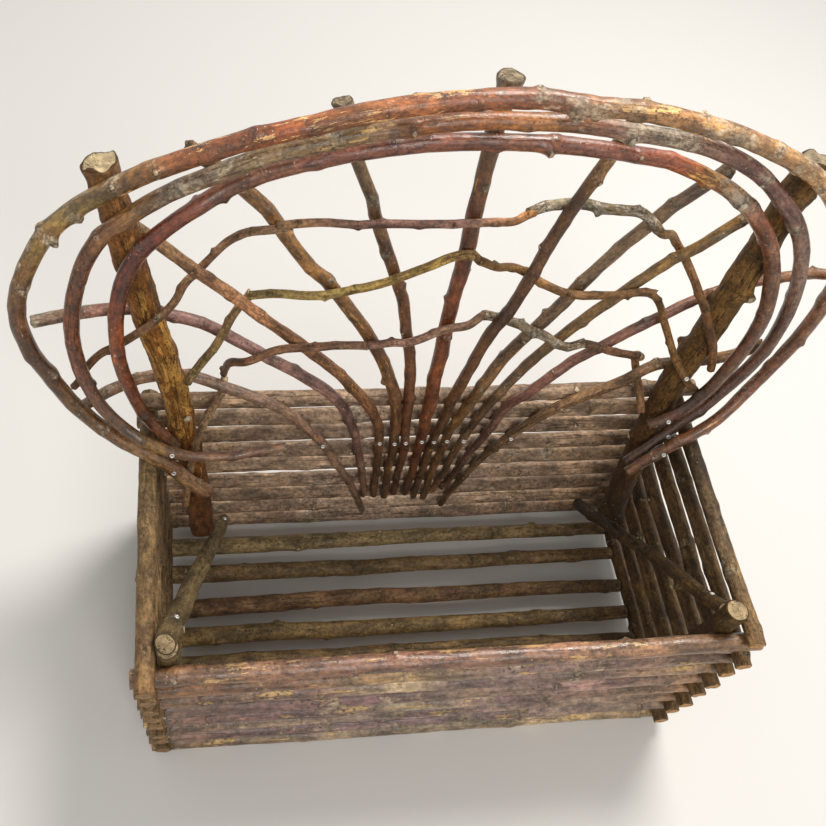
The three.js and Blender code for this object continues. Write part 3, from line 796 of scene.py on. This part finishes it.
for hand, tones in CORNER_TONES.items():
    node = f"{hand}_corner_post_and_brace"
    spots = np.unique(np.round(corners_of(node), 5), axis=0)
    base, post_radius = middle_and_reach(spots[spots[:, 2] < AT_FLOOR])
    foot, foot_radius = middle_and_reach(spots[spots[:, 1] > spots[:, 1].max() - BRACE_FOOT])
    post_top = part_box("left_wall_stick_8")[1][2] - POST_BELOW_WALL
    if hand == "left":
        end, end_radius = middle_and_reach(spots[spots[:, 2] > post_top + CLEAR_OF_POST])
    else:
        on_post = lengths(spots[:, :2] - base[:2]) < post_radius * OVER_POST
        post_top = spots[on_post][:, 2].max()
        end = base + np.array([*BRACE_OFF_POST, post_top - BRACE_BELOW_POST])
        end_radius = foot_radius
    post = grow(f"{hand}_corner_post", np.array([base, [base[0], base[1], post_top]]),
                np.full(2, post_radius), tones, sides=22, crook=0.0005, knots_apart=0.06,
                second="#4a3a24", ragged=0.0009, wear=0.3, age=0.5)
    brace = grow(f"{hand}_brace", np.array([foot, end]), np.array([foot_radius, end_radius]),
                 tones, crook=0.0014, knots_apart=0.05, second="#3f3020", knot=0.0015,
                 ragged=0.0009, wear=0.3, age=0.5)
    for piece in (post, brace):
        piece.data.materials.append(corner_bark)
        piece.data.materials.append(corner_end)
        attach(piece, "root")
        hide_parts(node)

# ---------------------------------------------------------------------
# Back posts. Two thick branches set inside the back corners, leaning back and out; they
# carry the fan. The left one is ochre where its bark has split, the right one dark.
left_post_bark = bark_finish("left_post_bark", "#a07c4c", "#76684f", 0.4, 1.0, relief=0.0022)
right_post_bark = bark_finish("right_post_bark", "#8a6a40", "#6d604c", 0.4, 1.0, relief=0.002)
pale_end = sawn_finish("pale_end", "#dfc79c", 0.6)
weathered_end = sawn_finish("weathered_end", "#b39f82", 0.8)
POST_ROUND = 0.93
POSTS = {
    "left": (
        left_post_bark, pale_end,
        "0 #543826 0.25 #644329 0.5 #7f5631 0.8 #7a5332 1 #7a5b41",
        ((0, 0.3), (0.35, 0.8), (0.6, 1), (0.85, 0.6), (1, 0.3)),
        ((0, 0.3), (0.8, 0.3), (1, 0.6)),
        ((0.66, 2.0, 0.004, 0.006), (0.42, 4.2, 0.003, 0.007), (0.8, 5.0, 0.0035, 0.006)),
    ),
    "right": (
        right_post_bark, weathered_end,
        "0 #2f2316 0.3 #44311e 0.6 #5c452a 1 #6f5638",
        ((0, 0.2), (0.5, 0.45), (1, 0.3)),
        ((0, 0.3), (0.7, 0.5), (1, 0.85)),
        ((0.55, 1.0, 0.003, 0.006), (0.72, 4.4, 0.004, 0.007), (0.93, 3.0, 0.0035, 0.008)),
    ),
}
for hand, (bark, end, tones, wear, age, knobs) in POSTS.items():
    node = f"{hand}_back_post"
    path, radii = centre_line(node, "z")
    piece = grow(f"{hand}_post", path, radii * POST_ROUND, tones, sides=36, step=0.0028, crook=0.0014,
                 rough=0.055, knot=0.0022, second="#3f2c1a", ease=0.02, knots_apart=0.06,
                 ragged=0.0026, flare=(0, 0.06), wear=wear, age=age, burls=knobs)
    piece.data.materials.append(bark)
    piece.data.materials.append(end)
    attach(piece, "root")
    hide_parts(node)

# ---------------------------------------------------------------------
# Spokes. Eleven thin branches, toes nailed side by side to the back wall, that fan out
# behind the hoops; each keeps the colour of its own wood, and some end torn or split.
red_bark = bark_finish("red_spoke_bark", "#ad8450", "#8d8574", 0.95, 0.5, relief=0.0008, gloss=0.5)
tan_bark = bark_finish("tan_spoke_bark", "#c79a62", "#9a8f7c", 0.65, 0.6, gloss=0.3)
spoke_end = sawn_finish("spoke_end", "#d0b996", 0.45)
SPOKES = [
    (red_bark, "0 #5e4c3e 0.35 #775e4e 0.7 #856c5a 1 #7a624c", 0.3, 0.45, (0, 0)),
    (red_bark, "0 #5a4636 0.3 #745850 0.6 #80625a 0.85 #704c44 1 #7b6a58", 0.25, 0.4, (0, 0)),
    (tan_bark, "0 #4e3828 0.4 #70503a 0.65 #8a664c 0.85 #9c755a 1 #8a7254", 0.4, 0.3, (0, 0)),
    (red_bark, "0 #48321f 0.4 #60422c 0.75 #755637 1 #6b5238", 0.5, 0.4, (0, 0.1)),
    (red_bark, "0 #40291c 0.4 #623e2a 0.75 #5c412b 1 #7a6850", 0.4, 0.5, (0, 0.5)),
    (red_bark, "0 #42291c 0.4 #6b3f28 0.7 #643a28 0.88 #5f4630 1 #8a7a64", 0.3, 0.45, (0, 0.3)),
    (red_bark, "0 #423020 0.4 #553924 0.75 #523824 1 #7d5f41", 0.4, 0.45, (0, 0)),
    (red_bark, "0 #4c3826 0.4 #6d4f31 0.7 #665440 1 #5e4a38", 0.4, 0.6, (0, 0.15)),
    (red_bark, "0 #483624 0.4 #5c4732 0.75 #6b5434 1 #7d5f36", 0.45, 0.5, (0, 0)),
    (red_bark, "0 #463226 0.4 #66483e 0.75 #6e4a3a 1 #7d583f", 0.3, 0.45, (0, 0)),
    (tan_bark, "0 #4e3c2a 0.4 #68523c 0.75 #765c44 1 #6a5138", 0.3, 0.6, (0, 0)),
]
TRIMMED = {3: -0.016, 4: 0.007}  # cut back by so much, and left longer where it is below 0
for n, (bark, tones, wear, age, flare) in enumerate(SPOKES, 1):
    node = f"spoke_{n}"
    path, radii = centre_line(node, "z")
    path[-1] -= unit(path[-1] - path[-2]) * TRIMMED.get(n, 0)
    piece = grow(f"spoke_{n}_branch", path, radii * ROUND, tones, step=0.0026,
                 crook=0.0011, rough=0.045, knot=0.0014, second="#4a3527", knots_apart=0.034,
                 stubs=0.4, ragged=0.0024 if flare[1] else 0.001, flare=flare,
                 wear=wear, age=((0, age * 0.7), (0.85, age), (1, age + 0.3)))
    piece.data.materials.append(bark)
    piece.data.materials.append(weathered_end if flare[1] else spoke_end)
    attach(piece, "root")
    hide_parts(node)

# ---------------------------------------------------------------------
# Hoops. Three long green branches bent round and nailed to the posts and spokes, with
# glossy red-brown bark, grey at the knots and ochre where it has rubbed through.
HOOP_ROUND = 0.965
HOOPS = {
    "outer_hoop": (
        bark_finish("outer_hoop_bark", "#cfa878", "#a1937e", 1.15, 0.45, relief=0.0006,
                    gloss=0.6, grain=0.75),
        "0 #6e5640 0.05 #80654a 0.1 #6f5231 0.17 #4c3524 0.21 #553a22 0.25 #6f5a36 0.29 #7c6840 "
        "0.32 #7d5f3c 0.345 #714a34 0.4 #784731 0.44 #8f6042 0.48 #86543b 0.53 #8a5a42 0.56 #8b6647 "
        "0.6 #a07b57 0.66 #a98560 0.72 #9d7c55 0.76 #876d4d 0.82 #6c503c 0.9 #5f3c29 0.95 #664731 "
        "1 #523724",
        "#5b3a28",
        ((0, 0.3), (0.18, 0.3), (0.24, 0.5), (0.31, 0.45), (0.34, 0.45), (0.4, 0.62), (0.47, 0.75),
         (0.51, 0.45), (0.57, 0.6), (0.68, 0.62), (0.78, 0.45), (1, 0.2)),
        ((0, 0.6), (0.15, 0.5), (0.2, 0.5), (0.25, 0.8), (0.32, 0.75), (0.35, 0.2), (0.5, 0.25),
         (0.54, 0.85), (0.57, 0.7), (0.7, 0.8), (0.85, 0.5), (1, 0.5)),
        ((0.262, 2.2, 0.0032, 0.0042), (0.335, 3.2, 0.0022, 0.004), (0.44, 1.2, 0.002, 0.0035),
         (0.545, 2.0, 0.0025, 0.005)),
    ),
    "middle_hoop": (
        bark_finish("middle_hoop_bark", "#a88c64", "#8f8473", 1.15, 0.6, relief=0.0007,
                    gloss=0.6, grain=0.75),
        "0 #7f634d 0.05 #7d5c46 0.1 #6f5638 0.16 #5e4030 0.208 #623824 0.25 #6a4430 0.3 #765638 "
        "0.36 #72604a 0.4 #7a664a 0.43 #816c4a 0.465 #7a5d45 0.485 #9a6036 0.51 #96613c "
        "0.55 #8c6240 0.58 #705040 0.6 #6e5c4e 0.63 #786654 0.68 #68463e 0.73 #725449 0.78 #786153 "
        "0.83 #5b4132 0.9 #54392a 1 #3c2c1e",
        "#4f362c",
        ((0, 0.2), (0.2, 0.3), (0.34, 0.5), (0.4, 0.7), (0.45, 0.7), (0.5, 0.5), (0.55, 0.5),
         (0.6, 0.35), (0.7, 0.3), (1, 0.25)),
        ((0, 0.4), (0.25, 0.4), (0.36, 0.85), (0.44, 0.6), (0.48, 0.15), (0.54, 0.2), (0.58, 0.9),
         (0.64, 0.8), (0.72, 0.5), (1, 0.45)),
        ((0.475, 1.0, 0.002, 0.0045), (0.6, 2.5, 0.0024, 0.006)),
    ),
    "inner_hoop": (
        bark_finish("inner_hoop_bark", "#bf955c", "#877c6e", 1.15, 0.4, relief=0.0006,
                    gloss=0.6, grain=0.75),
        "0 #6b4e37 0.1 #673c2a 0.15 #774126 0.2 #5d382a 0.265 #693a2c 0.323 #70503e 0.4 #6a463a "
        "0.47 #764c3a 0.54 #7e543e 0.58 #775245 0.62 #784a38 0.65 #7c4a35 0.68 #97683c "
        "0.705 #7f7262 0.74 #86563c 0.8 #6c4c36 0.86 #604230 0.92 #503a28 1 #493320",
        "#4b2c26",
        ((0, 0.2), (0.12, 0.5), (0.18, 0.2), (0.5, 0.12), (0.64, 0.2), (0.665, 0.95), (0.695, 0.6),
         (0.715, 0.25), (1, 0.25)),
        ((0, 0.5), (0.2, 0.35), (0.33, 0.3), (0.55, 0.35), (0.58, 0.6), (0.65, 0.2), (0.71, 0.9),
         (0.75, 0.5), (1, 0.45)),
        ((0.545, 2.4, 0.0028, 0.0045), (0.71, 2.6, 0.0026, 0.006)),
    ),
}
for name, (bark, tones, second, wear, age, knobs) in HOOPS.items():
    path, radii = centre_line(name, "x")
    piece = grow(f"{name}_branch", path, radii * HOOP_ROUND, tones, sides=24, step=0.0024,
                 crook=0.0009, rough=0.028, knot=0.0013, second=second, knots_apart=0.042,
                 mixing=0.5, ease=0.016, ragged=0.0012, wear=wear, age=age, burls=knobs)
    piece.data.materials.append(bark)
    piece.data.materials.append(spoke_end)
    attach(piece, "root")
    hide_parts(name)

# ---------------------------------------------------------------------
# Web and tie. Thin light twigs nailed across the spokes in three broken rings, end past
# end, and one that ties the hoops at the left; knotty where side shoots were cut off.
brown_bark = bark_finish("brown_bark", "#b08c5c", "#978b78", 0.5, 0.5)
yellow_bark = bark_finish("yellow_bark", "#b89c62", "#8d7c60", 0.5, 0.6)
grey_bark = bark_finish("grey_bark", "#a58f6c", "#a0978a", 0.3, 0.9, relief=0.002)
web_end = sawn_finish("web_end", "#cdb489", 0.4)
TWIGS = (
    ("outer_web", "left_rise", -1, -0.147, 0.92, brown_bark,
     "0 #5f4430 0.5 #7b604a 1 #77604e", 0.25, 0.4),
    ("outer_web", "crest", -0.151, 0.075, 0.95, brown_bark,
     "0 #866a50 0.35 #725750 0.7 #83675c 1 #a0744c", 0.3, 0.35),
    ("outer_web", "grey_stretch", 0.071, 0.190, 1.18, grey_bark,
     "0 #8a7a64 0.4 #77705c 1 #80694c", 0.35, 0.95),
    ("outer_web", "right_fall", 0.186, 1, 1.0, brown_bark,
     "0 #7b6347 0.5 #6d5038 1 #6b4c34", 0.3, 0.4),
    ("middle_web", "left_fall", -1, -0.180, 1.05, yellow_bark,
     "0 #7a684a 0.5 #86704e 1 #7f6a4c", 0.35, 0.6),
    ("middle_web", "yellow", -0.146, 0.022, 1.0, yellow_bark,
     "0 #857450 0.4 #948052 0.8 #967a52 1 #80694a", 0.7, 0.35),
    ("middle_web", "right", 0.020, 0.212, 1.0, brown_bark,
     "0 #6f5636 0.5 #7d6044 1 #765a40", 0.4, 0.45),
    ("middle_web", "right_fall", 0.208, 1, 0.92, brown_bark,
     "0 #74583a 1 #6b4f34", 0.35, 0.45),
    ("inner_web", "left", -1, 0.055, 0.98, brown_bark,
     "0 #5c4634 0.35 #7a5c48 0.7 #82665a 1 #7b6450", 0.25, 0.4),
    ("inner_web", "grey_stretch", 0.051, 0.158, 1.15, grey_bark,
     "0 #7d6a54 0.5 #867a66 1 #6f5d48", 0.25, 0.95),
    ("inner_web", "right", 0.154, 0.226, 1.0, brown_bark,
     "0 #6f5a48 0.7 #6a4c38 1 #4a3424", 0.25, 0.45),
    ("inner_web", "right_foot", 0.2275, 1, 1.05, brown_bark,
     "0 #8a6a4c 1 #6f543e", 0.3, 0.4),
    ("left_tie_twig", "whole", -1, 1, 0.95, brown_bark,
     "0 #725a42 0.5 #7a6048 1 #86725a", 0.25, 0.5),
)
# The left ends that run on past their cut, straight ahead, and how far.
RUN_ON = {("middle_web", "yellow"): 0.034, ("outer_web", "crest"): 0.006, ("inner_web", "left"): 0.016}
for node, stretch, start, stop, share, bark, tones, wear, age in TWIGS:
    path, radii = centre_line(node, "x")
    inside = (path[:, 0] > start) & (path[:, 0] < stop)
    ends = [x for x in (start, stop) if abs(x) < 1]
    cuts = [[np.interp(x, path[:, 0], path[:, k]) for k in range(3)] for x in ends]
    run = np.array(sorted([*path[inside].tolist(), *cuts]) if cuts else path)
    if (node, stretch) in RUN_ON:
        run = np.concatenate([[run[0] + unit(run[0] - run[3]) * RUN_ON[node, stretch]], run])
    piece = grow(f"{node}_{stretch}", run, np.full(len(run), radii.mean() * share), tones,
                 sides=14, step=0.0022, crook=0.0009, rough=0.07 if bark == grey_bark else 0.045,
                 knot=0.0012, second="#5f4838", knots_apart=0.024, stubs=0.45, ease=0.006,
                 ragged=0.0016, wear=wear, age=age)
    piece.data.materials.append(bark)
    piece.data.materials.append(web_end)
    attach(piece, "root")
    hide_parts(node)

# ---------------------------------------------------------------------
# Nails. Small bright nails with a raised ring round a hollow head: through most spokes
# into the back wall, where hoops and a twig cross the posts, and at the braces' ends.
NAIL_MIDDLE = 0.0004
NAIL_PROFILE = [(0.0010, 0.0004), (0.0014, 0.0010), (0.0020, 0.0012), (0.0025, 0.0009),
                (0.0026, 0.0003), (0.0024, -0.0006)]
NAIL_SIDES = 16
NAIL_LIFT = 0.0002
nail_steel, steel = new_finish("nail_steel")
s = Shades(nail_steel.node_tree)
dull = s.noise(s.add("ShaderNodeTexCoord").outputs["Object"], 900, 4, 0.6)
s.put(s.blend(s.ramp(dull, 0.35, 0.7), (0.78, 0.78, 0.76, 1), (0.52, 0.51, 0.48, 1)),
      steel.inputs["Base Color"])
s.put(s.ramp(dull, 0.3, 0.8, 0.28, 0.5), steel.inputs["Roughness"])
steel.inputs["Metallic"].default_value = 0.6
# The hollow in each head is coloured darker than the steel, with a mottle.
nail_hollow, hollow = new_finish("nail_hollow")
s = Shades(nail_hollow.node_tree)
hollow_mottle = s.noise(s.add("ShaderNodeTexCoord").outputs["Object"], 700)
s.put(s.blend(hollow_mottle, (0.10, 0.08, 0.06, 1), (0.2, 0.17, 0.13, 1)), hollow.inputs["Base Color"])
hollow.inputs["Roughness"].default_value = 0.7


def nail(name, stick, spot, facing):
    """One nail in a stick, at one of the steps along it, with its head facing that way."""
    points, faces = [], []
    for radius, height in NAIL_PROFILE:
        for j in range(NAIL_SIDES):
            angle = 2 * math.pi * j / NAIL_SIDES
            points.append((radius * math.cos(angle), radius * math.sin(angle), height))
    points.append((0, 0, NAIL_MIDDLE))
    for j in range(NAIL_SIDES):
        k = (j + 1) % NAIL_SIDES
        faces.append((j, k, len(points) - 1))
        for ring in range(len(NAIL_PROFILE) - 1):
            low, high = ring * NAIL_SIDES, (ring + 1) * NAIL_SIDES
            faces.append((high + j, high + k, low + k, low + j))
    faces.append([(len(NAIL_PROFILE) - 1) * NAIL_SIDES + j for j in range(NAIL_SIDES)])
    mesh = bpy.data.meshes.new(name)
    mesh.from_pydata(points, [], faces)
    mesh.materials.append(nail_steel)
    mesh.materials.append(nail_hollow)
    for face in mesh.polygons:
        face.use_smooth = len(face.vertices) < NAIL_SIDES
        if len(face.vertices) == 3:
            face.material_index = 1
    line, thick = grown[stick]
    at = line[spot] + unit(np.array(facing)) * (thick[spot] + NAIL_LIFT)
    turn = Vector((0, 0, 1)).rotation_difference(Vector(facing).normalized())
    mesh.transform(Matrix.Translation(Vector(at)) @ turn.to_matrix().to_4x4())
    piece = bpy.data.objects.new(name, mesh)
    scene.collection.objects.link(piece)
    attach(piece, "root")


NAIL_LINE = 0.230
SPOKE_FACING = (0, -1, 0.25)
for n in (1, 3, 4, 5, 6, 7, 8, 9, 11):
    line, _ = grown[f"spoke_{n}_branch"]
    nearest = np.argmin(np.abs(line[:, 2] - NAIL_LINE))
    nail(f"spoke_nail_{n}", f"spoke_{n}_branch", nearest, SPOKE_FACING)

# On the posts: which stick, how far to the side, and whether on its right half. The hoops
# cross that line twice, so the crossing under the crest is the one meant.
HOOP_FACING = (0, -1, 0.45)
UNDER_CREST = 0.45
HOOP_NAILS = (
    ("outer_hoop_branch", -0.262, False), ("middle_hoop_branch", -0.262, False),
    ("outer_hoop_branch", 0.275, True), ("middle_hoop_branch", 0.283, True),
    ("inner_hoop_branch", 0.272, True), ("middle_web_right_fall", 0.275, True),
)
for n, (stick, x, on_right) in enumerate(HOOP_NAILS, 1):
    line, _ = grown[stick]
    right_half = np.arange(len(line)) >= len(line) // 2
    meant = (right_half == on_right) & (line[:, 2] < UNDER_CREST)
    nearest = np.argmin(np.where(meant, np.abs(line[:, 0] - x), np.inf))
    nail(f"hoop_nail_{n}", stick, nearest, HOOP_FACING)

BRACE_FACING = np.array((0.1, -0.35, 1.0))
BRACE_NAILS = (("left_brace", 0.05), ("left_brace", 0.9), ("right_brace", 0.93))
for n, (stick, share) in enumerate(BRACE_NAILS, 1):
    line, _ = grown[stick]
    axis = unit(line[-1] - line[0])
    nail(f"brace_nail_{n}", stick, int(share * (len(line) - 1)),
         unit(BRACE_FACING - axis * (BRACE_FACING @ axis)))
